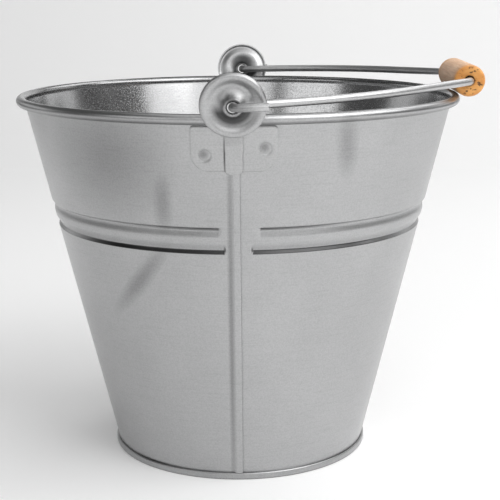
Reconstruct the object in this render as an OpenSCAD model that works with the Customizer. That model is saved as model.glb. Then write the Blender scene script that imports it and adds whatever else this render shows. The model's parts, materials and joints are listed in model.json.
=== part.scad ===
// Galvanised bucket with a wire bail and a turned wooden grip.
// Origin: centre of the foot ring, on the floor. +Z is up, the ears stand on -Y and +Y,
// and the bail lies towards +X with its grip resting on the rim.

/* [Body] */
// Outer diameter over the rolled rim
rim_d = 300; // [299.5:0.5:300.5]
// Height of the rolled rim's top above the floor
body_h = 246.4; // [246.2:0.1:246.6]
// Outer diameter of the wall, carried down to the floor
wall_foot_d = 172.4; // [172:0.1:172.8]
// Lean of the wall from vertical, in degrees
wall_lean = 13.5; // [13.4:0.05:13.6]
// Thickness of the galvanised sheet
sheet = 0.5; // [0.45:0.05:0.55]
// Clearance between folded layers and between fitted pieces
gap = 0.06; // [0.04:0.01:0.08]

/* [Swaged band] */
// Height where the wall steps in at the band's top
band_top_z = 177.4; // [175:0.1:179]
// Height where the wall steps out at the band's bottom
band_bottom_z = 159.8; // [158:0.1:162]
// Depth of each step
band_depth = 1.3; // [0.8:0.1:1.5]
// Angle each side of a seam, in degrees, where the band is left out
band_stop = 4; // [3:0.5:6]

/* [Rim] */
// Diameter of the wire inside the rolled rim
rim_wire_d = 5.3; // [5.2:0.1:5.4]

/* [Foot] */
// Outer diameter of the double seam around the foot
foot_d = 177.6; // [177.2:0.1:178]
// Height of the double seam
foot_h = 4.5; // [4:0.1:4.8]
// Height of the recessed bottom above the floor
bottom_z = 6; // [5.5:0.5:9]

/* [Ears] */
// Thickness of the ear plate
ear_t = 1; // [0.9:0.05:1.05]
// Width of the plate
plate_w = 51; // [48:0.5:54]
// Distance up the wall of the plate's lower edge
plate_low = 218; // [216:0.5:220]
// Distance up the wall of the plate's upper edge
plate_high = 246; // [244:0.5:246]
// Width of the channel that bridges the seam
channel_w = 10.8; // [10.4:0.1:12]
// Diameter of the round eye
eye_d = 38.7; // [38:0.1:38.8]
// Diameter of the hole for the bail
eye_hole_d = 8; // [7.8:0.1:8.2]
// Distance up the wall of the eye's centre
eye_up = 260.75; // [260.5:0.05:261]

/* [Rivets] */
// Diameter of the flat outer head
rivet_head_d = 6.8; // [6:0.1:7]
// Diameter of the shank
rivet_shank_d = 4; // [3.6:0.1:4.2]
// Sideways place of an ear's left rivet
rivet_left = -17.2; // [-19:0.1:-15]
// Sideways place of an ear's right rivet
rivet_right = 18.4; // [15:0.1:19]
// Place of the left rivet up the wall
rivet_left_up = 228; // [226:0.1:236]
// Place of the right rivet up the wall
rivet_right_up = 232.2; // [226:0.1:236]

/* [Bail] */
// Diameter of the bail wire
bail_d = 5; // [4.8:0.1:5]
// Height of the bail's pivot line
pivot_z = 251.3; // [251.2:0.05:251.4]
// Half the width between the arms where they leave the ears
arm_half_w = 147.4; // [147:0.1:147.8]
// Direction in which an arm leaves the ear, in degrees turned inwards
arm_start_angle = 9; // [7:0.5:10]
// Direction in which an arm reaches the grip
arm_end_angle = 48.8; // [48:0.1:50]
// Centre line radius of the bends at the grip
grip_bend_r = 9; // [8:0.5:10]
// Centre line radius of the bends at the ears
hook_bend_r = 4; // [3.9:0.1:4.1]
// Distance of the hooked end from the bucket's middle
hook_half_w = 162.5; // [162.4:0.1:163]
// Reach of the hooked end from the pivot line
hook_reach = 20.5; // [18:0.5:21]

/* [Grip] */
// Diameter of the turned grip
grip_d = 20.8; // [20:0.1:20.8]
// Length of the grip
grip_len = 75; // [72:0.5:75]
// Diameter of the hole through the grip
grip_hole_d = 6; // [5.6:0.1:6.4]
// Distance of the grip's axis from the bucket's middle at rest
grip_x = 152; // [152:0.1:153]
// Height of the grip's axis at rest
grip_z = 256.1; // [256.1:0.1:257]

/* [Hidden] */
$fn = 96;

zinc = "#b4b6b8";
bright_zinc = "#c6c8ca";
wood = "#cf9a5f";

// The wall. Its own sheet lies from -sheet to 0, measured outwards.
sheet_level = sheet / cos(wall_lean);      // sheet thickness measured level
bead_r = rim_wire_d / 2 + gap + sheet;     // outer radius of the rolled rim's section
bead_at = [rim_d / 2 - bead_r, body_h - bead_r];
neck_z = 236;                              // the wall straightens a little from here up
flange_z = sheet + gap;                    // the wall's flange stands on the bottom pan
flange_r = foot_d / 2 - sheet - gap;
band_step = 1.8;                           // height over which the wall steps in or out
band_fade = 8.2;                           // height at which it is back to the plain wall

// The lock seam: four layers folded together, seen from outside as [sideways, outwards].
layer = sheet + gap;                       // pitch of the folded layers
cover_joggle = -3.3;                       // the covering sheet starts to climb here
fold_left = -0.6;                          // left end of the folded layers
fold_right = 3;                            // right end, inside the outer fold
seam_joint = 0.4;                          // overlap of the flat seam with the round wall
seam_low_z = foot_h + 0.4;
seam_high_z = 238.45;

// The ear, measured outwards from the wall and up along it.
channel_in = 3 * layer + gap;              // inner face of the channel, clear of the seam
channel_wall = 1;
eye_back = 5.6;                            // back face of the eye
eye_ring_r = 2.15;                         // section radius of the eye's rolled edge
eye_ring_at = eye_d / 2 - eye_ring_r;
boss_foot_r = 11.8;
lip_r = 0.9;                               // section radius of the rolled lip of the hole
lip_at = [eye_hole_d / 2 + lip_r, 4.6];
neck_low = 236;                            // the neck leaves the wall here
neck_high = 242.5;                         // and reaches the eye's plane here

// The rivets, measured outwards from the wall.
pocket_floor = gap + ear_t / 2;
inner_head_r = 3.5;
inner_head_h = 1.3;
shank_clearance = 0.03;

// The bail, drawn flat as [away from the pivot line, half width].
grip_reach = norm([grip_x, grip_z - pivot_z]);
bail_rise = atan2(grip_z - pivot_z, grip_x);
straight_half = grip_len / 2 + 1;          // half of the straight length through the grip
bail_lap = 0.1;                            // how far a straight runs into a bend
arm_lead = 1;                              // straight length between the ear bend and the arc
arm_start = [hook_bend_r * (1 - sin(arm_start_angle)), arm_half_w];
arc_start = arm_start + arm_lead * [cos(arm_start_angle), -sin(arm_start_angle)];
pass_in = arm_half_w + hook_bend_r * cos(arm_start_angle);
pass_out = hook_half_w - hook_bend_r;

// An arm is a short lead, one long arc and a straight. The last two close the outline:
//   away:    arc_r * arc_away   + arm_straight * cos(arm_end_angle) = away
//   inwards: arc_r * arc_inward + arm_straight * sin(arm_end_angle) = inward
arc_away = sin(arm_end_angle) - sin(arm_start_angle);
arc_inward = cos(arm_start_angle) - cos(arm_end_angle);
away = grip_reach - grip_bend_r * (1 - sin(arm_end_angle)) - arc_start[0];
inward = arc_start[1] - straight_half - grip_bend_r * cos(arm_end_angle);
closing = arc_away * sin(arm_end_angle) - arc_inward * cos(arm_end_angle);
arc_r = (away * sin(arm_end_angle) - inward * cos(arm_end_angle)) / closing;
arm_straight = (arc_away * inward - arc_inward * away) / closing;
arc_end = arc_start + arc_r * [arc_away, -arc_inward];
bend_start = arc_end + arm_straight * [cos(arm_end_angle), -sin(arm_end_angle)];

// Outer radius of the plain wall at a height.
function wall_r(z) = wall_foot_d / 2 + z * tan(wall_lean);

// How far the swaged band is set in at a height.
function band_in(z) = lookup(z, [
    [band_bottom_z, 0],
    [band_bottom_z + band_step, band_depth],
    [band_bottom_z + band_fade, 0],
    [band_top_z - band_fade, 0],
    [band_top_z - band_step, band_depth],
    [band_top_z, 0],
]);

// Puts its children in the front seam's frame: X sideways, -Y straight out of the wall,
// Z up along the wall from the floor.
module on_wall() {
    translate([0, -wall_foot_d / 2, 0])
        rotate([wall_lean, 0, 0])
            children();
}

// Turns its children to the back of the bucket.
module at_back() {
    rotate(180)
        children();
}

// Extrudes a [sideways, outwards] outline up along the wall.
module up_wall(low, high) {
    on_wall()
        translate([0, 0, low])
            linear_extrude(high - low)
                mirror([0, 1])
                    children();
}

// Extrudes a [sideways, up the wall] outline outwards from the wall.
module out_of_wall(low, high) {
    on_wall()
        translate([0, -low, 0])
            rotate([90, 0, 0])
                linear_extrude(high - low)
                    children();
}

// Extrudes an [outwards, up the wall] outline sideways across the seam.
module across_seam(width) {
    on_wall()
        translate([-width / 2, 0, 0])
            rotate([90, 0, 90])
                linear_extrude(width)
                    mirror([1, 0])
                        children();
}

// Puts its children at a rivet of the front ear, with Z straight out of the wall.
module at_rivet(sideways, up) {
    rotate(asin(sideways / wall_r(up * cos(wall_lean))))
        on_wall()
            translate([0, 0, up])
                rotate([90, 0, 0])
                    children();
}

// Section of a body half: flange, wall, the band if wanted, and the curl round the rim wire.
module wall_section(banded) {
    band = [band_bottom_z, band_bottom_z + band_step, band_bottom_z + band_fade,
            band_top_z - band_fade, band_top_z - band_step, band_top_z];
    heights = concat([flange_z], banded ? band : [], [neck_z]);
    outer = [for (z = heights) [wall_r(z) - (banded ? band_in(z) : 0), z]];
    inner = [for (p = outer) p - [sheet_level, 0]];
    top = bead_at + [0.02 - bead_r, 0.3];
    polygon(concat(
        outer,
        [top + [sheet, 0], top],
        [for (i = [len(inner) - 1 : -1 : 0]) inner[i]]));
    translate([wall_r(flange_z) - sheet_level / 2, flange_z])
        square([flange_r - wall_r(flange_z) + sheet_level / 2, sheet]);
    translate(bead_at)
        difference() {
            circle(bead_r);
            circle(bead_r - sheet);
            polygon([[0, 0], for (a = [187, 226]) 2 * bead_r * [cos(a), sin(a)]]);
        }
}

// The seam edge of the covering sheet: it climbs over the other sheet and hooks under it.
module cover_edge() {
    polygon([
        [cover_joggle - 2 * seam_joint, -sheet],
        [cover_joggle, -sheet],
        [fold_left - gap, 3 * layer - sheet],
        [fold_right, 3 * layer - sheet],
        [fold_right, layer],
        [fold_left + layer, layer],
        [fold_left + layer, layer - sheet],
        [fold_right + sheet, layer - sheet],
        [fold_right + sheet, 3 * layer],
        [fold_left - gap, 3 * layer],
        [cover_joggle, 0],
        [cover_joggle - 2 * seam_joint, 0],
    ]);
}

// The seam edge of the covered sheet: it runs on underneath and folds back outside.
module tucked_edge() {
    polygon([
        [fold_right + sheet + 2 * seam_joint, -sheet],
        [fold_right + sheet + 2 * seam_joint, 0],
        [fold_left + sheet, 0],
        [fold_left + sheet, 2 * layer - sheet],
        [fold_right - gap, 2 * layer - sheet],
        [fold_right - gap, 2 * layer],
        [fold_left, 2 * layer],
        [fold_left, -sheet],
    ]);
}

// Room for the seam: the round wall stops short of the plane X = 0 by `reach` there.
module seam_room(reach) {
    far = rim_d;
    translate([-gap / 2, -far, -1])
        cube([far, far, body_h + 2]);
    translate([-reach, -far, seam_low_z])
        cube([far, far, seam_high_z - seam_low_z]);
}

// Half of the body, on -X: its edge covers the front seam and tucks into the back one.
module body_half() {
    seam_up = [(seam_low_z + 0.05) / cos(wall_lean), (seam_high_z - 0.25) / cos(wall_lean)];
    difference() {
        union() {
            rotate_extrude(start = 90, angle = band_stop)
                wall_section(false);
            rotate_extrude(start = 90 + band_stop, angle = 180 - 2 * band_stop)
                wall_section(true);
            rotate_extrude(start = 270 - band_stop, angle = band_stop)
                wall_section(false);
        }
        seam_room(seam_joint - cover_joggle);
        mirror([0, 1, 0])
            seam_room(fold_right + sheet + seam_joint);
        at_rivet(rivet_left, rivet_left_up)
            rivet_hole();
        at_back()
            at_rivet(rivet_right, rivet_right_up)
                rivet_hole();
    }
    up_wall(seam_up[0], seam_up[1])
        cover_edge();
    at_back()
        up_wall(seam_up[0], seam_up[1])
            tucked_edge();
}

module body_half_left() {
    color(zinc)
        body_half();
}

module body_half_right() {
    color(zinc)
        at_back()
            body_half();
}

// Recessed bottom, with its edge folded down, round the wall's flange and up outside it.
module bottom_pan() {
    inside = -sheet_level - gap;
    color(zinc)
        rotate_extrude()
            polygon([
                [0, bottom_z],
                [wall_r(bottom_z) + inside - sheet_level, bottom_z],
                [wall_r(0) + inside - sheet_level, 0],
                [foot_d / 2, 0],
                [foot_d / 2, foot_h],
                [wall_r(foot_h) + gap, foot_h],
                [wall_r(foot_h - sheet) + gap, foot_h - sheet],
                [foot_d / 2 - sheet, foot_h - sheet],
                [foot_d / 2 - sheet, sheet],
                [wall_r(sheet) + inside, sheet],
                [wall_r(bottom_z + sheet) + inside, bottom_z + sheet],
                [0, bottom_z + sheet],
            ]);
}

module rim_wire() {
    color(bright_zinc)
        rotate_extrude()
            translate(bead_at)
                circle(rim_wire_d / 2);
}

// Outline of the ear plate: small corners above, large ones below.
module plate_outline() {
    top_corner = 2;
    low_corner = 11;
    side = plate_w / 2;
    for (s = [-1, 1]) {
        translate([s * (side - top_corner), plate_high - top_corner])
            circle(top_corner);
        translate([s * (side - low_corner), plate_low + low_corner])
            circle(low_corner);
    }
    translate([-side, plate_low + low_corner])
        square([plate_w, plate_high - top_corner - plate_low - low_corner]);
    translate([top_corner - side, plate_high - 2 * top_corner])
        square([plate_w - 2 * top_corner, 2 * top_corner]);
    translate([low_corner - side, plate_low])
        square([plate_w - 2 * low_corner, 2 * low_corner]);
}

// Outline of the channel, with its lower corners rounded.
module channel_outline() {
    corner = 3;
    low = plate_low - 1;
    for (s = [-1, 1])
        translate([s * (channel_w / 2 - corner), low + corner])
            circle(corner);
    translate([-channel_w / 2, low + corner])
        square([channel_w, neck_low + 1 - low - corner]);
    translate([corner - channel_w / 2, low])
        square([channel_w - 2 * corner, 2 * corner]);
}

// Section of the round eye: rolled edge, flat ring, and a boss with a rolled lip.
module eye_section() {
    translate([boss_foot_r - 0.6, 0])
        square([eye_ring_at - eye_ring_r - boss_foot_r + 1.4, ear_t]);
    intersection() {
        translate([eye_ring_at, ear_t])
            difference() {
                circle(eye_ring_r);
                circle(eye_ring_r - ear_t);
            }
        translate([eye_ring_at - eye_ring_r, 0])
            square([2 * eye_ring_r, 2 * eye_ring_r]);
    }
    polygon([
        [boss_foot_r, 0],
        [boss_foot_r, ear_t],
        lip_at + [0.5, 0.5],
        lip_at - [0.5, 0.5],
        [boss_foot_r - 1.4, 0],
    ]);
    translate(lip_at)
        circle(lip_r);
}

module rivet_hole() {
    translate([0, 0, -5])
        cylinder(h = 10, d = rivet_shank_d + 2 * shank_clearance);
}

// One pressed ear: curved plate, channel over the seam, neck under the rim, and eye.
module ear() {
    difference() {
        union() {
            intersection() {
                rotate_extrude(start = 255, angle = 30)
                    polygon([
                        for (z = [200, 245]) [wall_r(z) + gap, z],
                        for (z = [245, 200]) [wall_r(z) + gap + ear_t, z],
                    ]);
                out_of_wall(-10, 5)
                    plate_outline();
            }
            out_of_wall(2 * gap, channel_in + channel_wall)
                channel_outline();
        }
        out_of_wall(-10, channel_in)
            translate([channel_wall - channel_w / 2, plate_low - 20])
                square([channel_w - 2 * channel_wall, 60]);
        for (place = [[rivet_left, rivet_left_up], [rivet_right, rivet_right_up]])
            at_rivet(place[0], place[1]) {
                rivet_hole();
                translate([0, 0, pocket_floor])
                    cylinder(h = 5, d = rivet_head_d + 0.2);
            }
    }
    across_seam(channel_w)
        polygon([
            [channel_in + channel_wall, neck_low - 4],
            [channel_in + channel_wall, neck_low],
            [eye_back + ear_t, neck_high],
            [eye_back + ear_t, eye_up - boss_foot_r],
            [eye_back, eye_up - boss_foot_r],
            [eye_back, neck_high + 0.5],
            [channel_in, neck_low + 0.5],
            [channel_in, neck_low - 4],
        ]);
    on_wall()
        translate([0, -eye_back, eye_up])
            rotate([90, 0, 0])
                rotate_extrude()
                    eye_section();
}

module ear_front() {
    color(bright_zinc)
        ear();
}

module ear_back() {
    color(bright_zinc)
        at_back()
            ear();
}

// A rivet with a flat outer head in the ear's pocket and a domed head inside the bucket.
module rivet(sideways, up) {
    dome_r = (pow(inner_head_r, 2) + pow(inner_head_h, 2)) / (2 * inner_head_h);
    head_low = -sheet - gap - inner_head_h;
    head_top = pocket_floor + ear_t / 2 - gap;
    color(bright_zinc)
        at_rivet(sideways, up)
            rotate_extrude() {
                translate([0, -sheet - 2 * gap])
                    square([rivet_shank_d / 2, pocket_floor + sheet + 3 * gap]);
                translate([0, pocket_floor])
                    square([rivet_head_d / 2, head_top - pocket_floor]);
                intersection() {
                    translate([0, head_low + dome_r])
                        circle(dome_r);
                    translate([0, head_low])
                        square([inner_head_r, inner_head_h]);
                }
            }
}

module rivet_front_left() {
    rivet(rivet_left, rivet_left_up);
}

module rivet_front_right() {
    rivet(rivet_right, rivet_right_up);
}

module rivet_back_left() {
    at_back()
        rivet(rivet_left, rivet_left_up);
}

module rivet_back_right() {
    at_back()
        rivet(rivet_right, rivet_right_up);
}

// A straight length of bail wire, drawn a hair slimmer than the bends. It can run a little
// way into the bend before it and the bend after it, which joins them into one solid.
module wire_straight(from, direction, length, before = bail_lap, after = bail_lap) {
    translate(from)
        rotate([0, 90, direction])
            translate([0, 0, -before])
                cylinder(h = before + length + after, d = bail_d - 0.02);
}

// A bend of bail wire round a centre, from a start angle through a turn.
module wire_bend(centre, radius, start, turn) {
    translate(centre)
        rotate_extrude(start = start, angle = turn)
            translate([radius, 0])
                circle(bail_d / 2);
}

// One side of the bail: hooked end, pass through the ear, long arm and bend to the grip.
module bail_side() {
    inwards = function(angle) [-sin(angle), -cos(angle)];
    wire_straight([hook_bend_r, hook_half_w], 0, hook_reach - hook_bend_r, after = 0);
    wire_bend([hook_bend_r, pass_out], hook_bend_r, 90, 90);
    wire_straight([0, pass_out], -90, pass_out - pass_in);
    wire_bend([hook_bend_r, pass_in], hook_bend_r, 180, 90 - arm_start_angle);
    wire_straight(arm_start, -arm_start_angle, arm_lead);
    wire_bend(arc_start + arc_r * inwards(arm_start_angle), arc_r,
              90 - arm_end_angle, arm_end_angle - arm_start_angle);
    wire_straight(arc_end, -arm_end_angle, arm_straight);
    wire_bend(bend_start + grip_bend_r * inwards(arm_end_angle), grip_bend_r,
              0, 90 - arm_end_angle);
}

module bail() {
    color(bright_zinc)
        translate([0, 0, pivot_z])
            rotate([0, -bail_rise, 0]) {
                for (side = [0, 1])
                    mirror([0, side, 0])
                        bail_side();
                wire_straight([grip_reach, -straight_half], 90, 2 * straight_half);
            }
}

module grip() {
    chamfer = 0.8;
    r = grip_d / 2;
    half = grip_len / 2;
    hole = grip_hole_d / 2;
    color(wood)
        translate([grip_x, 0, grip_z])
            rotate([90, 0, 0])
                rotate_extrude()
                    polygon([
                        [hole, -half], [r - chamfer, -half], [r, chamfer - half],
                        [r, half - chamfer], [r - chamfer, half], [hole, half],
                    ]);
}

body_half_left();
body_half_right();
bottom_pan();
rim_wire();
ear_front();
ear_back();
rivet_front_left();
rivet_front_right();
rivet_back_left();
rivet_back_right();
bail();
grip();
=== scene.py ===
"""Galvanised bucket with a wire bail and a turned wooden grip: the looks around its CAD frame.

Lengths are in millimetres until a mesh is made, and the frame is the CAD model's own.
"""

import json
import math

import bmesh
import bpy
from mathutils import Matrix, Vector


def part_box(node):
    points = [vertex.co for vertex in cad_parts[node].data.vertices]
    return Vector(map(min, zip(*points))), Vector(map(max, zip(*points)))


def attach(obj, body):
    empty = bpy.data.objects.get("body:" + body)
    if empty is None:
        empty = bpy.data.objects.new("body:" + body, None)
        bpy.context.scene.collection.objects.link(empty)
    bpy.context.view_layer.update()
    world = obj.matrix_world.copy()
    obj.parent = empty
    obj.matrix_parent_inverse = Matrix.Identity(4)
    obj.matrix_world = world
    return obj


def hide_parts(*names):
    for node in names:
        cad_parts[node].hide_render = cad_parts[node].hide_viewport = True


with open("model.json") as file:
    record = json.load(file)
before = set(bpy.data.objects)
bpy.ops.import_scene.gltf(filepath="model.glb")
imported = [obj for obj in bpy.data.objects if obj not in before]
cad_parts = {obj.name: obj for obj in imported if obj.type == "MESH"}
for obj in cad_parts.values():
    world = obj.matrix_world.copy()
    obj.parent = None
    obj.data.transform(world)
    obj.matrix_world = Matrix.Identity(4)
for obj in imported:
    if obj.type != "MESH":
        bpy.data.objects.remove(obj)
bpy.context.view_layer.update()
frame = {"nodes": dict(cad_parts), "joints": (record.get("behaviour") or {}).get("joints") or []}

MM = 0.001


# ---------------------------------------------------------------- sizes, from the frame

def box_mm(node):
    """A CAD node's lowest and highest corners, in millimetres."""
    low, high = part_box(node)
    return low / MM, high / MM


def joint_mm(name):
    """The place of a joint, in millimetres."""
    joint = next(j for j in frame["joints"] if j["name"] == name)
    return Vector(joint["pos_m"]) / MM


RIM_R = -box_mm("body_half_left")[0].x
RIM_TOP = box_mm("body_half_left")[1].z
WIRE_R = (box_mm("rim_wire")[1].z - box_mm("rim_wire")[0].z) / 2
FOOT_R = box_mm("bottom_pan")[1].x
PIVOT = joint_mm("bail_swing")
GRIP = joint_mm("grip_spin")
GRIP_HALF = (box_mm("grip")[1].y - box_mm("grip")[0].y) / 2

SHEET = 0.5
GAP = 0.06              # air between two layers of sheet
LAYER = SHEET + GAP
LEAN = math.radians(13.5)
WALL_FOOT_R = 86.2      # outer radius the wall would have at the floor
FOOT_H = 4.5
BOTTOM_Z = 6.0          # underside of the recessed bottom
BAND = (159.5, 177.0)   # lower and upper edge of the swaged band
BAND_DEPTH = 1.65
BAND_STOPS = ((5.4, 7.8), (9.6, 13.4))     # by the cover, by the tuck: lower, upper edge
BAND_FADES = (2.0, 4.0)     # how gently the lower and upper edge end there
BEAD_R = WIRE_R + GAP + SHEET
BEAD = (RIM_R - BEAD_R, RIM_TOP - BEAD_R)
NECK_Z = 240.5          # where the wall starts to turn into the rolled rim
SEAM_TOP_Z = 238.2

# Ears are measured sideways, out from the wall, and up along the wall.
EAR_T = 1.0
PLATE = (218.0, 246.0)  # lower and upper edge
PLATE_HALF_W = 25.5
LOW_CORNER, TOP_CORNER = 11.0, 2.0
EYE_UP = 260.6
EYE_BACK = 5.6          # how far the eye stands out from the wall
CHANNEL_OUT = 3 * LAYER + GAP + EAR_T
CHANNEL_W = 10.8
CHANNEL_FOOT = 216.9
RIVETS = ((-17.2, 228.0), (18.4, 232.2))
POCKET = 0.75           # depth of the dimple round a rivet

BAIL_R = 2.5

LIGHT_TARGET = (0, 0, 0.15)     # metres; every softbox is aimed here
LIGHT_DISTANCE = 2.2            # metres, from there to each softbox


# ---------------------------------------------------------------- outlines

def arc(centre, radius, start, end, steps):
    """Points round a centre, from one angle to another, in degrees."""
    points = []
    for i in range(steps + 1):
        a = math.radians(start + (end - start) * i / steps)
        points.append(Vector((centre[0] + radius * math.cos(a), centre[1] + radius * math.sin(a))))
    return points


def rounded(points, radius, steps=5):
    """An open line of points with each of its corners rounded."""
    points = [Vector(p) for p in points]
    out = [points[0]]
    for before, corner, after in zip(points, points[1:], points[2:]):
        u = (before - corner).normalized()
        v = (after - corner).normalized()
        half = u.angle(v) / 2
        if half > math.radians(89):     # nearly straight on
            out.append(corner)
            continue
        back = min(radius / math.tan(half), 0.49 * (before - corner).length,
                   0.49 * (after - corner).length)
        r = back * math.tan(half)
        centre = corner + (u + v).normalized() * r / math.sin(half)
        first = corner + u * back - centre
        last = corner + v * back - centre
        turn = first.angle_signed(last)
        for i in range(steps + 1):
            a = -turn * i / steps
            out.append(centre + Vector((first.x * math.cos(a) - first.y * math.sin(a),
                                        first.x * math.sin(a) + first.y * math.cos(a))))
    out.append(points[-1])
    return out


def spaced(points, step):
    """An open line with points added so that none lie further apart than a step."""
    out = [points[0]]
    for a, b in zip(points, points[1:]):
        count = max(1, math.ceil((b - a).length / step))
        out += [a.lerp(b, i / count) for i in range(1, count + 1)]
    return out


def thick(points, t):
    """The closed outline of a strip of sheet whose middle runs along a line of points."""
    sides = []
    for i, p in enumerate(points):
        along = (points[min(i + 1, len(points) - 1)] - points[max(i - 1, 0)]).normalized()
        sides.append(Vector((-along.y, along.x)) * t / 2)
    one = [p + s for p, s in zip(points, sides)]
    other = [p - s for p, s in zip(points, sides)]
    return one + other[::-1]


def smooth(x):
    """0 below 0, 1 above 1, and an even slope between."""
    x = min(max(x, 0.0), 1.0)
    return x * x * (3 - 2 * x)


# ---------------------------------------------------------------- meshes

def piece(name, verts, faces, smooth_angle=35):
    """A mesh object made from millimetre points, shaded smooth except across sharp edges."""
    mesh = bpy.data.meshes.new(name)
    mesh.from_pydata([tuple(Vector(v) * MM) for v in verts], [], faces)
    bm = bmesh.new()
    bm.from_mesh(mesh)
    bmesh.ops.recalc_face_normals(bm, faces=bm.faces)
    for face in bm.faces:
        face.smooth = True
    for edge in bm.edges:
        if len(edge.link_faces) == 2:
            edge.smooth = edge.calc_face_angle() < math.radians(smooth_angle)
    bm.to_mesh(mesh)
    bm.free()
    obj = bpy.data.objects.new(name, mesh)
    bpy.context.scene.collection.objects.link(obj)
    return obj


class Shape:
    """Collects closed shells that make up one piece."""

    def __init__(self):
        self.verts = []
        self.faces = []

    def skin(self, rings, closed=False):
        """Joins rings of points, each a closed loop, into a tube, with flat ends if it's open."""
        base = len(self.verts)
        n = len(rings[0])
        for ring in rings:
            self.verts += [tuple(p) for p in ring]
        count = len(rings)
        for k in range(count if closed else count - 1):
            a = base + k * n
            b = base + (k + 1) % count * n
            for i in range(n):
                j = (i + 1) % n
                self.faces.append((a + i, a + j, b + j, b + i))
        if not closed:
            self.faces.append(tuple(base + i for i in reversed(range(n))))
            self.faces.append(tuple(base + (count - 1) * n + i for i in range(n)))

    def sheet(self, top, bottom):
        """Closes two matching grids of points into one shell."""
        rows, cols = len(top), len(top[0])
        base = len(self.verts)
        for grid in (top, bottom):
            for row in grid:
                self.verts += [tuple(p) for p in row]
        under = rows * cols

        def at(r, c):
            return base + r * cols + c

        for r in range(rows - 1):
            for c in range(cols - 1):
                quad = (at(r, c), at(r, c + 1), at(r + 1, c + 1), at(r + 1, c))
                self.faces.append(quad)
                self.faces.append(tuple(v + under for v in reversed(quad)))
        rim = [at(0, c) for c in range(cols)]
        rim += [at(r, cols - 1) for r in range(1, rows)]
        rim += [at(rows - 1, c) for c in range(cols - 2, -1, -1)]
        rim += [at(r, 0) for r in range(rows - 2, 0, -1)]
        for a, b in zip(rim, rim[1:] + rim[:1]):
            self.faces.append((a, a + under, b + under, b))

    def spin(self, outline, count):
        """A full turn of a closed outline, whose points on the axis become one point each."""
        n = len(outline)
        index = {}
        for k in range(count):
            a = 2 * math.pi * k / count
            for i, (r, h) in enumerate(outline):
                if abs(r) < 1e-6:
                    if k == 0:
                        index[(0, i)] = len(self.verts)
                        self.verts.append((0.0, 0.0, h))
                    index[(k, i)] = index[(0, i)]
                else:
                    index[(k, i)] = len(self.verts)
                    self.verts.append((r * math.cos(a), r * math.sin(a), h))
        for k in range(count):
            after = (k + 1) % count
            for i in range(n):
                j = (i + 1) % n
                ring = [index[(k, i)], index[(k, j)], index[(after, j)], index[(after, i)]]
                ring = [v for pos, v in enumerate(ring) if v not in ring[:pos]]
                if len(ring) > 2:
                    self.faces.append(tuple(ring))

    def add(self, other):
        """Takes in another shape's shells."""
        base = len(self.verts)
        self.verts += other.verts
        self.faces += [tuple(base + v for v in face) for face in other.faces]

    def moved(self, matrix):
        """Turns or moves everything collected so far."""
        self.verts = [tuple(matrix @ Vector(v)) for v in self.verts]
        return self

    def made(self, name):
        return piece(name, self.verts, self.faces)


def steps_between(start, end, count):
    """Evenly spaced values from start to end, both included."""
    return [start + (end - start) * i / count for i in range(count + 1)]


HALF_TURN = Matrix.Rotation(math.pi, 4, "Z")


def wall_r(z):
    """Outer radius of the plain wall at a height."""
    return WALL_FOOT_R + z * math.tan(LEAN)


def on_wall(x, out, up, curved=True):
    """A point of the front wall: sideways, straight out of the wall, and up along it."""
    r = WALL_FOOT_R + up * math.sin(LEAN) + out * math.cos(LEAN)
    z = up * math.cos(LEAN) - out * math.sin(LEAN)
    y = -math.sqrt(r * r - x * x) if curved else -r
    return x, y, z


# ---------------------------------------------------------------- body

def band_in(z):
    """Depth of the swaged band at a height: its upper edge curls in, its lower edge is a ledge."""
    low, high = BAND
    curl, ramp, ledge, hollow = 1.5, 6.6, 2.0, 5.6
    below_top = high - z
    above_foot = z - low
    upper = min(max(below_top / curl, 0) ** 1.6, 1)
    upper *= 1 - smooth((below_top - curl) / ramp)
    lower = min(max(above_foot / ledge, 0), 1)
    lower *= 1 - smooth((above_foot - ledge) / hollow)
    return BAND_DEPTH * (upper + lower)


def wall_outline():
    """Closed section of the wall: flange in the foot seam, wall, and curl round the rim wire."""
    mid = SHEET / math.cos(LEAN) / 2
    flange_z = 1.5 * SHEET + GAP
    flange = rounded([(FOOT_R - SHEET - GAP, flange_z), (wall_r(flange_z) - mid, flange_z),
                      (wall_r(8) - mid, 8.0)], 0.5)
    wall = [Vector((wall_r(z) - mid, z)) for z in steps_between(12, BAND[0] - 2, 26)]
    wall += [Vector((wall_r(z) - mid, z))
             for z in steps_between(BAND[0] - 1, BAND[1] + 1, 66)]
    wall += [Vector((wall_r(z) - mid, z)) for z in steps_between(BAND[1] + 3, NECK_Z, 12)]
    curl_r = BEAD_R - SHEET / 2
    foot = Vector((wall_r(NECK_Z) - mid, NECK_Z))
    top = Vector((BEAD[0] - curl_r, BEAD[1]))
    lead = (top - foot).length
    neck = []
    for t in steps_between(0, 1, 8)[1:-1]:
        a = foot + Vector((math.sin(LEAN), math.cos(LEAN))) * lead * t
        b = top - Vector((0, 1)) * lead * (1 - t)
        neck.append(a.lerp(b, smooth(t)))
    curl = arc(BEAD, curl_r, 180, -134, 56)
    return thick(flange + wall + neck + curl, SHEET)


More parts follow.
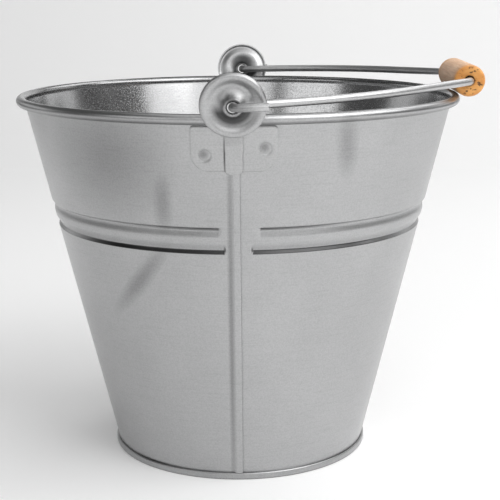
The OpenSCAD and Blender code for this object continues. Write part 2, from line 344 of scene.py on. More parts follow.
def body_half():
    """Half of the body, on -X. Its front edge covers the seam and its back edge tucks under."""
    outline = wall_outline()
    low_up = (FOOT_H + 0.5) / math.cos(LEAN)
    high_up = SEAM_TOP_Z / math.cos(LEAN)
    seam_angle_gap = 0.03
    start, end = 90 + seam_angle_gap, 270 - seam_angle_gap
    band_r = wall_r(168)
    # The steps are finer beside the seams, where the band ends.
    angles = steps_between(start, start + 8, 48)
    angles += steps_between(start + 9, end - 6, 164)
    angles += steps_between(end - 5.8, end, 36)
    rings = []
    for angle in angles:
        tucked = angle < 180
        from_seam = angle - start if tucked else end - angle
        reach = math.radians(from_seam) * band_r
        c, s = math.cos(math.radians(angle)), math.sin(math.radians(angle))
        ring = []
        for r, z in outline:
            if BAND[0] - 2 < z < BAND[1] + 2:
                upper = z > sum(BAND) / 2
                past_stop = (reach - BAND_STOPS[tucked][upper]) / BAND_FADES[upper]
                r -= band_in(z) * smooth(past_stop + 0.2)
            ring.append((r * c, r * s, z))
        rings.append(ring)
    shape = Shape()
    shape.skin(rings)
    shape.skin(seam_rings(cover_path(), low_up, high_up, True))
    back = Shape()
    back.skin(seam_rings(tucked_path(), low_up, high_up, False))
    shape.add(back.moved(HALF_TURN))
    return shape


def cover_path():
    """Middle line of the covering sheet's seam edge, as (sideways, outwards)."""
    return rounded([(-4.1, -0.2), (-3.6, -0.22), (-2.5, 0.12), (-0.35, 3 * LAYER - SHEET / 2),
                    (3.25, 3 * LAYER - SHEET / 2), (3.25, LAYER - SHEET / 2),
                    (0.0, LAYER - SHEET / 2)], 0.45)


def tucked_path():
    """Middle line of the covered sheet's seam edge."""
    return rounded([(4.3, -0.2), (-0.35, -0.22), (-0.35, 2 * LAYER - SHEET / 2),
                    (2.9, 2 * LAYER - SHEET / 2)], 0.5)


def seam_rings(path, low, high, dented):
    """A seam edge swept up the wall, with the swaging tool's two dents across its crest."""
    outline = thick(path, SHEET)
    dent_depth, dent_width, dent_inset = 0.35, 0.8, 1.6
    rings = []
    for up in steps_between(low, high, 380):
        z = up * math.cos(LEAN)
        dent = 0.0
        if dented:
            for mark in (BAND[0] + dent_inset, BAND[1] - dent_inset):
                dent += dent_depth * math.exp(-((z - mark) / dent_width) ** 2)
        ring = []
        for x, out in outline:
            press = dent * smooth((out - 0.8) / 0.6)
            ring.append(on_wall(x, out - press, up, curved=False))
        rings.append(ring)
    return rings


def bottom_pan():
    """Recessed bottom whose edge folds down, round the wall's flange and up outside it."""
    inside = -1.5 * SHEET / math.cos(LEAN) - GAP
    mid = SHEET / 2
    path = rounded([
        (0.0, BOTTOM_Z + mid),
        (wall_r(BOTTOM_Z + mid) + inside, BOTTOM_Z + mid),
        (wall_r(mid) + inside, mid),
        (FOOT_R - mid, mid),
        (FOOT_R - mid, FOOT_H - mid),
        (wall_r(FOOT_H - mid) + GAP, FOOT_H - mid),
    ], 0.6)
    outline = thick(path, SHEET)
    outline[0].x = outline[-1].x = 0.0
    shape = Shape()
    shape.spin(outline, 288)
    return shape


# ---------------------------------------------------------------- ears and rivets

def plate_half_width(up):
    """Half the width of the ear plate at a distance up the wall."""
    low, high = PLATE
    if up < low + LOW_CORNER:
        corner, past = LOW_CORNER, low + LOW_CORNER - up
    elif up > high - TOP_CORNER:
        corner, past = TOP_CORNER, up - high + TOP_CORNER
    else:
        return PLATE_HALF_W
    return PLATE_HALF_W - corner + math.sqrt(max(corner ** 2 - past ** 2, 0))


def plate_out(x, up):
    """Height of the plate's outer face above the wall: the channel and the rivets' pockets."""
    dimple_r, dimple_slope = 2.7, 2.2
    shoulder = smooth((CHANNEL_W / 2 - abs(x)) / 0.7)
    foot = smooth((up - CHANNEL_FOOT - 0.3) / 1.2)
    out = GAP + EAR_T + (CHANNEL_OUT - GAP - EAR_T) * shoulder * foot
    for rx, rup in RIVETS:
        away = math.hypot(x - rx, up - rup)
        out -= POCKET * (1 - smooth((away - dimple_r) / dimple_slope))
    return out


def ear():
    """One pressed ear: curved plate with a channel over the seam, neck, and round eye."""
    shape = Shape()
    low, high = PLATE[0] + LOW_CORNER, PLATE[1] - TOP_CORNER
    rows = [low - LOW_CORNER * math.cos(a) for a in steps_between(0, math.pi / 2, 34)]
    rows += steps_between(low + 0.3, high, 42)
    rows += [high + TOP_CORNER * math.sin(a) for a in steps_between(0.2, math.pi / 2, 8)]
    middle = steps_between(-CHANNEL_W / 2 - 0.3, CHANNEL_W / 2 + 0.3, 44)
    top, bottom = [], []
    for up in rows:
        half = plate_half_width(up)
        side = steps_between(CHANNEL_W / 2 + 0.3, half, 52)[1:]
        xs = [-x for x in reversed(side)] + middle + side
        top.append([on_wall(x, plate_out(x, up) - edge_drop(x, up, half), up) for x in xs])
        bottom.append([on_wall(x, max(plate_out(x, up) - EAR_T, GAP), up) for x in xs])
    shape.sheet(top, bottom)
    channel_lip(shape)
    neck(shape)
    eye(shape)
    return shape


def edge_drop(x, up, half):
    """How far the plate's outer face drops at a point, to round its edge."""
    drop, width = 0.35, 0.6
    if abs(x) <= CHANNEL_W / 2:
        return 0.0
    inset = min(half - abs(x), up - PLATE[0], PLATE[1] - up)
    return drop * (1 - smooth(inset / width))


def channel_lip(shape):
    """The channel's lower end, which stands a little below the plate, with rounded corners."""
    corner = 3.0
    heights = [CHANNEL_FOOT + corner * (1 - math.cos(a))
               for a in steps_between(0.12, math.pi / 2, 12)]
    heights += steps_between(220.5, 237, 6)
    rings = []
    for up in heights:
        past = max(CHANNEL_FOOT + corner - up, 0)
        half = CHANNEL_W / 2 - corner + math.sqrt(corner ** 2 - past ** 2)
        side, low, high = half - EAR_T / 2, GAP + 0.05, CHANNEL_OUT - EAR_T / 2
        line = rounded([(-side, low), (-side, high), (side, high), (side, low)], 0.55)
        rings.append([on_wall(x, out, up) for x, out in thick(line, EAR_T)])
    shape.skin(rings)


def neck(shape):
    """The strap that carries the eye out past the rolled rim."""
    start_out, end_out = CHANNEL_OUT - 0.5, EYE_BACK + 0.45
    path = rounded([(start_out, 231.0), (start_out, 235.5),
                    (end_out, 243.0), (end_out, 246.0)], 7.0, 10)
    path = spaced(path, 1.0)
    half = CHANNEL_W / 2
    right_edge = [(half, -0.3), (half, 0.2), (half - 0.35, 0.47), (half - 0.8, 0.5)]
    left_edge = [(-x, t) for x, t in reversed(right_edge)]
    section = [(-half + 0.2, -0.5), (half - 0.2, -0.5)] + right_edge + left_edge
    rings = []
    for i, (out, up) in enumerate(path):
        along = (path[min(i + 1, len(path) - 1)] - path[max(i - 1, 0)]).normalized()
        across = Vector((along.y, -along.x))
        ring = []
        for x, t in section:
            spot = Vector((out, up)) + across * t
            ring.append(on_wall(x, spot.x, spot.y, curved=False))
        rings.append(ring)
    shape.skin(rings)


def eye(shape):
    """The round eye: a rolled edge, a dished ring, and a raised boss with a rolled lip.

    Its outline's points are a distance from the eye's centre and a height off its back.
    """
    mid = EAR_T / 2
    lip = arc((4.6, 4.3), 0.8, 215, 50, 10)
    flank_top, flank_foot = lip[-1], Vector((12.2, mid))
    bend = Vector((7.9, mid + 0.1))
    flank = []
    for t in steps_between(0, 1, 22)[1:]:
        flank.append(flank_top.lerp(bend, t).lerp(bend.lerp(flank_foot, t), t))
    crest, edge = Vector((17.0, 2.15)), Vector((18.85, 0.6))
    rise = []
    for t in steps_between(0, 1, 24)[1:]:
        rise.append(flank_foot.lerp(crest, t) + Vector((0, (crest.y - mid) * (smooth(t) - t))))
    roll = []
    for a in steps_between(0, math.pi / 2, 12)[1:]:
        roll.append(Vector((crest.x + (edge.x - crest.x) * math.sin(a),
                            edge.y + (crest.y - edge.y) * math.cos(a))))
    roll.append(Vector((edge.x, 0.3)))
    disc = Shape()
    disc.spin(thick(lip + flank + rise + roll, EAR_T), 144)
    centre = on_wall(0, EYE_BACK, EYE_UP, curved=False)
    turn = Matrix.Translation(centre) @ Matrix.Rotation(LEAN + math.pi / 2, 4, "X")
    shape.add(disc.moved(turn))


def rivet(x, up):
    """A rivet: dished flat head in the ear's pocket, shank, and domed head inside."""
    head, shank, inner = 3.4, 2.0, 3.5
    floor = GAP + EAR_T - POCKET
    inside = -SHEET - GAP
    outline = [(0.0, floor + 0.08), (1.2, floor + 0.1), (2.0, floor + 0.15),
               (2.7, floor + 0.22), (head - 0.25, floor + 0.2), (head - 0.05, floor + 0.12),
               (head, floor), (shank, floor),
               (shank, inside), (inner, inside), (inner - 0.1, inside - 0.35),
               (2.7, inside - 0.9), (1.5, inside - 1.22), (0.0, inside - 1.3)]
    shape = Shape()
    shape.spin(outline, 48)
    z = up * math.cos(LEAN)
    turn = Matrix.Rotation(math.asin(x / wall_r(z)), 4, "Z")
    turn = turn @ Matrix.Translation(on_wall(0, 0, up))
    turn = turn @ Matrix.Rotation(LEAN + math.pi / 2, 4, "X")
    return shape.moved(turn)


# ---------------------------------------------------------------- bail and grip

def bail_path():
    """The bail's centre line, flat, as (away from the pivot line, across), from hook to hook."""
    start, end = math.radians(9), math.radians(48.8)
    hook_r, bend_r, hook_half, reach, lead = 4.0, 9.0, 162.5, 20.5, 1.0
    arm_half = 147.4
    straight_half = GRIP_HALF + 1
    grip_reach = math.hypot(GRIP.x - PIVOT.x, GRIP.z - PIVOT.z)
    arm = Vector((hook_r * (1 - math.sin(start)), arm_half))
    first = arm + lead * Vector((math.cos(start), -math.sin(start)))
    # The arm's bow has the radius, and then the straight run, that meet the bend by the grip.
    away = grip_reach - bend_r * (1 - math.sin(end)) - first.x
    inward = first.y - straight_half - bend_r * math.cos(end)
    arc_away = math.sin(end) - math.sin(start)
    arc_in = math.cos(start) - math.cos(end)
    closing = arc_away * math.sin(end) - arc_in * math.cos(end)
    radius = (away * math.sin(end) - inward * math.cos(end)) / closing
    last = first + radius * Vector((arc_away, -arc_in))
    straight = (arc_away * inward - arc_in * away) / closing
    bend = last + straight * Vector((math.cos(end), -math.sin(end)))
    pass_in = arm_half + hook_r * math.cos(start)
    half = [Vector((reach, hook_half))]
    half += arc((hook_r, hook_half - hook_r), hook_r, 90, 180, 14)
    half += arc((hook_r, pass_in), hook_r, 180, 270 - math.degrees(start), 14)
    half += arc(first - radius * Vector((math.sin(start), math.cos(start))), radius,
                90 - math.degrees(start), 90 - math.degrees(end), 60)
    half += arc(bend - bend_r * Vector((math.sin(end), math.cos(end))), bend_r,
                90 - math.degrees(end), 0, 12)
    return half + [Vector((p.x, -p.y)) for p in reversed(half)]


def bail():
    """The bent wire, with slightly rounded cut ends."""
    path = bail_path()
    rise = math.atan2(GRIP.z - PIVOT.z, GRIP.x - PIVOT.x)
    sides = 32
    blunt = 0.35
    points = [Vector((p.x, p.y, 0)) for p in path]
    first = (points[0] - points[1]).normalized()
    last = (points[-1] - points[-2]).normalized()
    stations = [(points[0], first, BAIL_R - blunt)]
    stations.append((points[0] - first * blunt, first, BAIL_R))
    for i in range(1, len(points) - 1):
        along = (points[i - 1] - points[i + 1]).normalized()
        stations.append((points[i], along, BAIL_R))
    stations.append((points[-1] - last * blunt, -last, BAIL_R))
    stations.append((points[-1], -last, BAIL_R - blunt))
    rings = []
    for centre, along, r in stations:
        across = Vector((-along.y, along.x, 0))
        ring = []
        for k in range(sides):
            a = 2 * math.pi * k / sides
            ring.append(centre + across * r * math.cos(a) + Vector((0, 0, r * math.sin(a))))
        rings.append(ring)
    shape = Shape()
    shape.skin(rings)
    return shape.moved(Matrix.Translation(PIVOT) @ Matrix.Rotation(-rise, 4, "Y"))


def grip():
    """Turned wooden grip with softened ends and a hole for the wire."""
    low, high = box_mm("grip")
    half = GRIP_HALF
    r = (high.z - low.z) / 2
    hole, edge, crown = 3.4, 2.2, 0.6
    face = r - edge
    end = [Vector((hole, 1.2)), Vector((hole + 0.5, crown + 0.1))]
    end += [Vector((hole + 0.5 + (face - hole - 0.5) * t, crown * (1 - t))) for t in (0.3, 0.6)]
    end += arc((face, edge), edge, 270, 360, 10)
    outline = [Vector((x, y - half)) for x, y in end]
    outline += [Vector((r, y)) for y in steps_between(-half + 4, half - 4, 30)]
    outline += [Vector((x, half - y)) for x, y in reversed(end)]
    shape = Shape()
    shape.spin(outline, 128)
    return shape.moved(Matrix.Translation(GRIP) @ Matrix.Rotation(-math.pi / 2, 4, "X"))


# ---------------------------------------------------------------- materials

class Nodes:
    """A material's node tree, built up by name."""

    MIXED = 2       # the colour output of a mix node

    def __init__(self, name):
        self.material = bpy.data.materials.new(name)
        self.material.use_nodes = True
        self.tree = self.material.node_tree
        self.tree.nodes.clear()
        self.shader = self.add("ShaderNodeBsdfPrincipled")
        output = self.add("ShaderNodeOutputMaterial")
        self.link(self.shader, "BSDF", output, "Surface")
        self.coords = self.add("ShaderNodeTexCoord")

    def add(self, kind, **values):
        node = self.tree.nodes.new(kind)
        for key, value in values.items():
            if key in node.inputs:
                node.inputs[key].default_value = value
            else:
                setattr(node, key, value)
        return node

    def link(self, a, out, b, into):
        self.tree.links.new(a.outputs[out], b.inputs[into])

    def scaled(self, scale):
        """Object coordinates, stretched."""
        node = self.add("ShaderNodeMapping")
        node.inputs["Scale"].default_value = scale
        self.link(self.coords, "Object", node, "Vector")
        return node

    def noise(self, scale, stretch=(1, 1, 1), detail=4.0, rough=0.55, distortion=0.0):
        node = self.add("ShaderNodeTexNoise", Scale=scale, Detail=detail, Roughness=rough,
                        Distortion=distortion)
        self.link(self.scaled(stretch), "Vector", node, "Vector")
        return node

    def ramp(self, source, out, stops):
        node = self.add("ShaderNodeValToRGB")
        elements = node.color_ramp.elements
        while len(elements) < len(stops):
            elements.new(0.5)
        for element, (place, colour) in zip(elements, stops):
            element.position = place
            element.color = (*colour, 1) if isinstance(colour, tuple) else (colour,) * 3 + (1,)
        self.link(source, out, node, "Fac")
        return node

    def mix(self, kind, factor, a, b):
        """Mixes two nodes' colours; the factor is a number or a node."""
        node = self.add("ShaderNodeMix", data_type="RGBA", blend_type=kind)
        if isinstance(factor, float):
            node.inputs[0].default_value = factor
        else:
            self.tree.links.new(self.colour_of(factor), node.inputs[0])
        self.tree.links.new(self.colour_of(a), node.inputs[6])
        self.tree.links.new(self.colour_of(b), node.inputs[7])
        return node

    def colour_of(self, node):
        """The colour output of a mix node or of any other node."""
        return node.outputs[self.MIXED if node.bl_idname == "ShaderNodeMix" else "Color"]

    def multiplied(self, a, b):
        return self.mix("MULTIPLY", 1.0, a, b)

    def ranged(self, source, out, low, high):
        """Maps a span of values to 0 to 1."""
        node = self.add("ShaderNodeMapRange")
        node.inputs["From Min"].default_value = low
        node.inputs["From Max"].default_value = high
        self.link(source, out, node, "Value")
        return node

    def painted_crease_shade(self):
        """Painted shade that darkens narrow gaps and inner corners."""
        hidden = self.add("ShaderNodeAmbientOcclusion", samples=6, Distance=0.0025)
        return self.ramp(hidden, "AO", [(0.2, 0.5), (0.7, 1.0)])

    def facing_axis(self):
        """1 where the surface looks towards the object's upright axis, and 0 elsewhere."""
        flat = self.add("ShaderNodeVectorMath", operation="MULTIPLY")
        flat.inputs[1].default_value = (1, 1, 0)
        self.link(self.coords, "Object", flat, 0)
        outward = self.add("ShaderNodeVectorMath", operation="NORMALIZE")
        self.link(flat, "Vector", outward, 0)
        dot = self.add("ShaderNodeVectorMath", operation="DOT_PRODUCT")
        self.link(outward, "Vector", dot, 0)
        self.link(self.coords, "Normal", dot, 1)
        return self.ramp(dot, "Value", [(0.0, 1.0), (0.2, 0.0)])

    def bump(self, source, out, distance, strength=1.0, before=None):
        node = self.add("ShaderNodeBump", Distance=distance, Strength=strength)
        self.link(source, out, node, "Height")
        if before:
            self.link(before, "Normal", node, "Normal")
        return node


def zinc(name, tone, gloss, marks=(), inner_gloss=None):
    """Satin zinc: cloudy tone, fine frosting, rolled-sheet scratches, and painted shade in its
    corners and narrow gaps.

    Marks are functions that add nodes of painted shade, which darken it. Where an inner gloss is
    given, faces that look towards the axis have that roughness instead.
    """
    n = Nodes(name)
    cloud = n.noise(14, detail=5, rough=0.6)
    frost = n.noise(1100, detail=2, rough=0.6)
    scratch = n.noise(45, (1, 1, 30), detail=4, rough=0.75)
    tones = n.ramp(cloud, "Fac", [(0.3, tuple(c * 0.93 for c in tone)), (0.7, tone)])
    speck = n.ramp(frost, "Fac", [(0.32, 0.86), (0.62, 1.0)])
    worn = n.ramp(scratch, "Fac", [(0.36, 0.93), (0.48, 1.0)])
    colour = n.multiplied(n.multiplied(tones, speck), worn)
    # Each mark darkens the colour with painted shade.
    for mark in marks:
        colour = n.multiplied(colour, mark(n))
    # Painted shade in the corners and narrow gaps.
    colour = n.multiplied(colour, n.painted_crease_shade())
    n.tree.links.new(n.colour_of(colour), n.shader.inputs["Base Color"])
    rough = n.ramp(cloud, "Fac", [(0.3, gloss + 0.07), (0.7, gloss)])
    if inner_gloss:
        shiny = n.ramp(frost, "Fac", [(0.35, inner_gloss + 0.16), (0.6, inner_gloss)])
        rough = n.mix("MIX", n.facing_axis(), rough, shiny)
    n.tree.links.new(n.colour_of(rough), n.shader.inputs["Roughness"])
    wave = n.noise(28, detail=2, rough=0.4)
    fine = n.bump(frost, "Fac", 0.00005, 0.5)
    lines = n.bump(scratch, "Fac", 0.00004, 0.4, fine)
    soft = n.bump(wave, "Fac", 0.0006, 0.3, lines)
    n.link(soft, "Normal", n.shader, "Normal")
    n.shader.inputs["Metallic"].default_value = 1.0
    return n.material


def oval(n, x, z, half_width, half_height, tilt, side):
    """Nodes for an oval at x, z on the front (-1) or back (1), tilted in degrees.

    The first gives coordinates that reach 1 at its edge, the second fades from its centre.
    """
    depth = 90
    at = n.add("ShaderNodeMapping", vector_type="TEXTURE")
    at.inputs["Location"].default_value = Vector((x, side * wall_r(z), z)) * MM
    at.inputs["Rotation"].default_value = (0, math.radians(tilt), 0)
    at.inputs["Scale"].default_value = Vector((half_width, depth, half_height)) * MM
    n.link(n.coords, "Object", at, "Vector")
    spot = n.add("ShaderNodeTexGradient", gradient_type="SPHERICAL")
    n.link(at, "Vector", spot, "Vector")
    return at, spot


def shade_oval(x, z, half_width, half_height, tilt, depth, side=-1):
    """A soft oval of painted shade."""
    def mark(n):
        _, spot = oval(n, x, z, half_width, half_height, tilt, side)
        return n.ramp(spot, "Fac", [(0.0, 1.0), (0.75, 1 - depth)])
    return mark


def rim_shade(under, inside):
    """Painted shade round the rolled rim: along its lower half outside, and its upper half inside.
    """
    def mark(n):
        split = n.add("ShaderNodeSeparateXYZ")
        n.link(n.coords, "Object", split, "Vector")
        height = n.ranged(split, "Z", (BEAD[1] - BEAD_R - 0.5) * MM, BEAD[1] * MM)
        low = n.ramp(height, "Result", [(0.0, 1.0), (0.08, 1 - under), (0.45, 1 - under),
                                        (0.8, 1.0)])
        high = n.ramp(height, "Result", [(0.4, 1.0), (0.9, 1 - inside)])
        return n.mix("MIX", n.facing_axis(), low, high)
    return mark


def dish_shade(z, inner, outer, depth, side):
    """Painted shade in the dish below a boss, between two distances from its centre."""
    def mark(n):
        at, spot = oval(n, 0, z, outer, outer, 0, side)
        clear = 1 - inner / outer
        ring = n.ramp(spot, "Fac", [(0.0, 0.0), (0.45 * clear, 1.0), (0.85 * clear, 1.0),
                                    (clear, 0.0)])
        split = n.add("ShaderNodeSeparateXYZ")
        n.link(at, "Vector", split, "Vector")
        height = n.ranged(split, "Z", -0.5, 0.5)
        below = n.ramp(height, "Result", [(0.2, 1.0), (0.6, 0.0)])
        return n.ramp(n.multiplied(ring, below), n.MIXED, [(0.0, 1.0), (1.0, 1 - depth)])
    return mark


def groove_shade_line(low, high, stops, depth, fade):
    """A line of painted shade along an edge of the swaged band, between two heights, on both
    halves' outsides.

    It stops short of the seam's cover and of its tuck, and fades towards the sides: fade holds
    the distances, forwards or backwards of the axis in metres, where it is faint and full.
    """
    margin, reach = 2.0, 30.0
    span = high - low + 2 * margin

    def mark(n):
        split = n.add("ShaderNodeSeparateXYZ")
        n.link(n.coords, "Object", split, "Vector")
        height = n.ranged(split, "Z", (low - margin) * MM, (high + margin) * MM)
        line = n.ramp(height, "Result", [
            (0.0, 0.0), ((margin - 0.3) / span, 0.0), (margin / span, 1.0),
            (1 - margin / span, 1.0), (1 - (margin - 0.4) / span, 0.0)])
        depth_in = n.add("ShaderNodeMath", operation="ABSOLUTE")
        n.link(split, "Y", depth_in, 0)
        near_seam = n.ramp(depth_in, "Value", [(fade[0], 0.1), (fade[1], 1.0)])
        side = n.add("ShaderNodeMath", operation="SIGN")
        n.link(split, "Y", side, 0)
        across = n.add("ShaderNodeMath", operation="MULTIPLY")
        n.link(split, "X", across, 0)
        n.link(side, "Value", across, 1)
        offset = n.ranged(across, "Value", -reach * MM, reach * MM)
        cover, tuck = (0.5 + 0.5 * d / reach for d in (stops[0], -stops[1]))
        soft = 0.25 / reach
        pressed = n.ramp(offset, "Result", [
            (0.0, 1.0), (tuck - soft, 1.0), (tuck, 0.0), (cover, 0.0), (cover + soft, 1.0)])
        outside = n.ramp(n.facing_axis(), "Color", [(0.0, 1.0), (1.0, 0.0)])
        amount = n.multiplied(n.multiplied(line, near_seam), n.multiplied(pressed, outside))
        return n.ramp(amount, n.MIXED, [(0.0, 1.0), (1.0, 1 - depth)])
    return mark


def beech(name):
    """Turned, unvarnished wood: pale grain along the grip, and orange, pitted end grain."""
    n = Nodes(name)
    grain = n.noise(60, (7, 0.5, 7), detail=6, rough=0.55, distortion=0.4)
    fibres = n.noise(420, (3, 0.12, 3), detail=5, rough=0.7)
    sides = n.ramp(grain, "Fac", [(0.3, (0.78, 0.46, 0.27)), (0.7, (0.94, 0.64, 0.42))])
    streak = n.ramp(fibres, "Fac", [(0.35, 0.8), (0.6, 1.0)])
    side_colour = n.multiplied(sides, streak)
    rings = n.noise(130, (1, 0.3, 2.2), detail=3, rough=0.5)
    ends = n.ramp(rings, "Fac", [(0.35, (0.60, 0.24, 0.05)), (0.65, (0.74, 0.36, 0.10))])
    pits = end_pits(n)
    end_colour = n.multiplied(ends, pits)
    blend = end_grain(n)
    # Painted shade in the corners and narrow gaps, over the wood's colour.
    colour = n.multiplied(n.mix("MIX", blend, side_colour, end_colour), n.painted_crease_shade())
    n.tree.links.new(n.colour_of(colour), n.shader.inputs["Base Color"])
    rough = n.ramp(fibres, "Fac", [(0.3, 0.62), (0.7, 0.48)])
    n.link(rough, "Color", n.shader, "Roughness")
    grainy = n.bump(fibres, "Fac", 0.0002, 0.5)
    n.link(n.bump(pits, n.MIXED, 0.0004, 0.6, grainy), "Normal", n.shader, "Normal")
    return n.material


def end_pits(n):
    """Dark pits scattered round the grip's hole, and 1 elsewhere."""
    reach, length = 11, 10000
    pores = n.noise(420, detail=1, rough=0.4)
    spread = n.add("ShaderNodeMapping", vector_type="TEXTURE")
    spread.inputs["Location"].default_value = (GRIP.x * MM, 0, GRIP.z * MM)
    spread.inputs["Scale"].default_value = Vector((reach, length, reach)) * MM
    n.link(n.coords, "Object", spread, "Vector")
    middle = n.add("ShaderNodeTexGradient", gradient_type="SPHERICAL")
    n.link(spread, "Vector", middle, "Vector")
    clear = n.ramp(middle, "Fac", [(0.1, 1.0), (0.3, 0.0)])
    return n.mix("LIGHTEN", 1.0, n.ramp(pores, "Fac", [(0.31, 0.2), (0.37, 1.0)]), clear)


def end_grain(n):
    """1 on the grip's end faces, fading to 0 along its sides."""
    fade = 12
    facing = n.add("ShaderNodeSeparateXYZ")
    n.link(n.coords, "Normal", facing, "Vector")
    amount = n.add("ShaderNodeMath", operation="ABSOLUTE")
    n.link(facing, "Y", amount, 0)
    split = n.add("ShaderNodeSeparateXYZ")
    n.link(n.coords, "Object", split, "Vector")
    along = n.add("ShaderNodeMath", operation="ABSOLUTE")
    n.link(split, "Y", along, 0)
    near_end = n.ramp(n.ranged(along, "Value", (GRIP_HALF - fade) * MM, GRIP_HALF * MM),
                      "Result", [(0.0, 0.0), (1.0, 0.6)])
    facing_end = n.ramp(amount, "Value", [(0.2, 0.0), (0.8, 1.0)])
    return n.mix("LIGHTEN", 1.0, facing_end, near_end)


# ---------------------------------------------------------------- stage

def aim_camera():
    """The photograph's camera: its place in metres, its heading from +Y to +X, and its lens."""
    position = (0.01719, -0.85690, 0.32123)
    heading, pitch, roll = (math.radians(a) for a in (-0.643, -12.241, -0.25))
    data = bpy.data.cameras.new("camera")
    data.lens = 89.68
    data.sensor_width = 36
    data.clip_end = 50
    camera = bpy.data.objects.new("camera", data)
    turn = Matrix.Rotation(-heading, 4, "Z") @ Matrix.Rotation(math.pi / 2 + pitch, 4, "X")
    turn = turn @ Matrix.Rotation(roll, 4, "Z")
    camera.matrix_world = Matrix.Translation(position) @ turn
    bpy.context.scene.collection.objects.link(camera)
    bpy.context.scene.camera = camera


def softbox(name, azimuth, elevation, size, radiance):
    """A soft light: angles in degrees, azimuth 0 on the camera's side, and sizes in metres."""
    data = bpy.data.lights.new(name, "AREA")
    data.shape = "RECTANGLE"
    data.size, data.size_y = size
    data.energy = radiance * math.pi * size[0] * size[1]
    light = bpy.data.objects.new(name, data)
    turn = Matrix.Rotation(math.radians(azimuth), 4, "Z")
    turn = turn @ Matrix.Rotation(math.radians(90 - elevation), 4, "X")
    light.matrix_world = (Matrix.Translation(LIGHT_TARGET) @ turn
                          @ Matrix.Translation((0, 0, LIGHT_DISTANCE)))
    bpy.context.scene.collection.objects.link(light)


def stage_sheet(name, rows, material):
    """A floor or backdrop mesh from rows of points across it."""
    across = len(rows[0])
    verts = [p for row in rows for p in row]
    faces = []
    for r in range(len(rows) - 1):
        for c in range(across - 1):
            faces.append((r * across + c, r * across + c + 1,
                          (r + 1) * across + c + 1, (r + 1) * across + c))
    mesh = bpy.data.meshes.new(name)
    mesh.from_pydata(verts, [], faces)
    for face in mesh.polygons:
        face.use_smooth = True
    mesh.materials.append(material)
    obj = bpy.data.objects.new(name, mesh)
    bpy.context.scene.collection.objects.link(obj)


def paint(name, tone, glow):
    """Matt white paint for the stage, with a little glow."""
    n = Nodes(name)
    n.shader.inputs["Base Color"].default_value = (tone, tone, tone, 1)
    n.shader.inputs["Roughness"].default_value = 0.9
    n.shader.inputs["Emission Color"].default_value = (1, 1, 1, 1)
    n.shader.inputs["Emission Strength"].default_value = glow
    return n.material


def studio():
    """A pale floor that curves up behind the object, under soft lights."""
    half, back, curve, height, backdrop_half = 25.0, 1.3, 1.0, 1.2, 1.2
    tone, glow = 0.86, 0.14
    floor_rows = [[(x, y, 0) for x in (-half, half)] for y in (-half, back)]
    stage_sheet("floor", floor_rows, paint("floor_paint", tone, glow))
    sweep = [(back + curve * math.sin(a), curve * (1 - math.cos(a)))
             for a in steps_between(0, math.pi / 2, 12)]
    sweep.append((back + curve, height))
    wall_rows = [[(x, y, z) for x in (-backdrop_half, backdrop_half)] for y, z in sweep]
    stage_sheet("backdrop", wall_rows, paint("backdrop_paint", tone, glow))
    world = bpy.data.worlds.new("studio")
    world.use_nodes = True
    background = world.node_tree.nodes["Background"]
    background.inputs["Color"].default_value = (1, 1, 1, 1)
    background.inputs["Strength"].default_value = 0.1
    bpy.context.scene.world = world
    softbox("front_card", 21, 30, (3.3, 1.9), 1.35)
    softbox("key", 66, 46, (2.6, 1.4), 2.85)
    softbox("left_card", -47, 21, (1.3, 0.75), 1.5)
    softbox("right_side", 130, 14, (1.2, 0.7), 0.8)
    softbox("left_side", -122, 14, (1.4, 0.7), 0.7)
    softbox("top", 0, 88, (2.0, 2.0), 0.9)
    softbox("rear_right", 144, 42, (1.3, 1.1), 2.0)
    bpy.context.scene.view_settings.view_transform = "Standard"


# ---------------------------------------------------------------- the scene

def place(shape, name, node, body, slot, material):
    """Makes a piece that stands for a CAD node and rides on a body."""
    obj = shape.made(name)
    obj.data.materials.append(material)
    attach(obj, body)
    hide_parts(node)
    return obj


aim_camera()
studio()

lower_stops, upper_stops = zip(*BAND_STOPS)
# Painted shade along the band's lower and upper edge.
lower_groove_shade = groove_shade_line(BAND[0], BAND[0] + 2.2, [s + 0.7 for s in lower_stops], 0.86, (0.06, 0.1))
upper_groove_shade = groove_shade_line(BAND[1] - 2.3, BAND[1] - 0.9, [s + 1.6 for s in upper_stops], 0.62,
                       (0.106, 0.126))
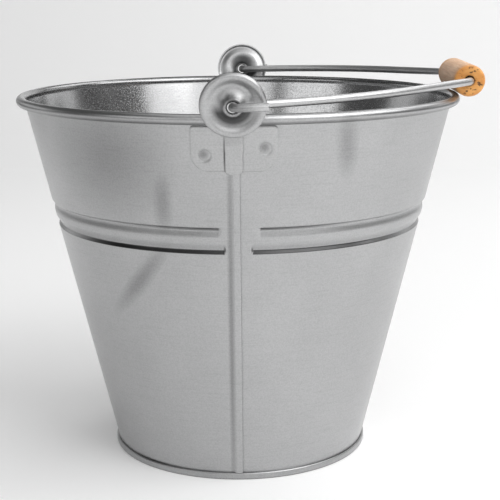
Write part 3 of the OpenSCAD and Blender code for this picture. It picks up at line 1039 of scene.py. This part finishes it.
# Painted dark reflections and shade on the wall: each oval's middle sideways and up, its half
# width and half height, its tilt and depth.
wall_shade_ovals = [
    shade_oval(-43, 190, 7, 22, 0, 0.28),
    shade_oval(67, 226, 8, 26, 0, 0.28),
    shade_oval(-60, 138, 7, 38, 35, 0.33),
    shade_oval(20, 236, 10, 14, 0, 0.12),
    shade_oval(-82, 215, 52, 48, 0, 0.35),
]
# Painted shade along the seam's folded edge, front and back.
seam_shade = [shade_oval(side * 3.0, 108, 2.2, 190, 0, 0.32, side) for side in (-1, 1)]
# All the painted shade on the body's sheet.
sheet_shade = [lower_groove_shade, upper_groove_shade] + wall_shade_ovals + seam_shade + [rim_shade(0.45, 0.3)]
sheet_zinc = zinc("sheet_zinc", (0.49, 0.492, 0.496), 0.30, sheet_shade, inner_gloss=0.14)

eye_z = EYE_UP * math.cos(LEAN)
ear_shade = []
# Painted shade on both ears: in the dish below the boss, round the hole, beside the channel and in
# the rivets' dimples.
for side in (-1, 1):
    ear_shade.append(dish_shade(eye_z - 1.5, 5.4, 14.0, 0.8, side))
    ear_shade.append(shade_oval(0, eye_z, 8.0, 8.0, 0, 0.65, side))
    ear_shade.append(shade_oval(side * 5.5, 222, 0.8, 15, 0, 0.6, side))
    for x, up in RIVETS:
        ear_shade.append(shade_oval(-side * x - 0.6, up * math.cos(LEAN) + 0.6, 4, 4, 0, 0.4, side))
ear_zinc = zinc("ear_zinc", (0.50, 0.502, 0.505), 0.35, ear_shade)

# Painted shade on the wire where its hooks sit in the eyes.
hook_shade = [shade_oval(3, PIVOT.z, 14, 8, 0, 0.5, side) for side in (-1, 1)]
wire_zinc = zinc("wire_zinc", (0.62, 0.622, 0.625), 0.36, hook_shade)
pan_zinc = zinc("pan_zinc", (0.45, 0.452, 0.455), 0.3)
wood = beech("grip_wood")

half = body_half()
place(half, "half_left", "body_half_left", "bucket", "sheet", sheet_zinc)
place(half.moved(HALF_TURN), "half_right", "body_half_right", "bucket", "sheet", sheet_zinc)
place(bottom_pan(), "pan", "bottom_pan", "bucket", "pan", pan_zinc)
place(ear(), "ear_near", "ear_front", "bucket", "ear", ear_zinc)
place(ear().moved(HALF_TURN), "ear_far", "ear_back", "bucket", "ear", ear_zinc)
for side, (x, up) in zip(("left", "right"), RIVETS):
    place(rivet(x, up), "rivet_near_" + side, "rivet_front_" + side, "bucket", "rivet", ear_zinc)
    place(rivet(x, up).moved(HALF_TURN), "rivet_far_" + side, "rivet_back_" + side, "bucket",
          "rivet", ear_zinc)
place(bail(), "bail_wire", "bail", "bail", "bail_wire", wire_zinc)
place(grip(), "grip_turned", "grip", "grip", "grip_wood", wood)

rim_wire = frame["nodes"]["rim_wire"]
rim_wire.data.materials.clear()
rim_wire.data.materials.append(wire_zinc)
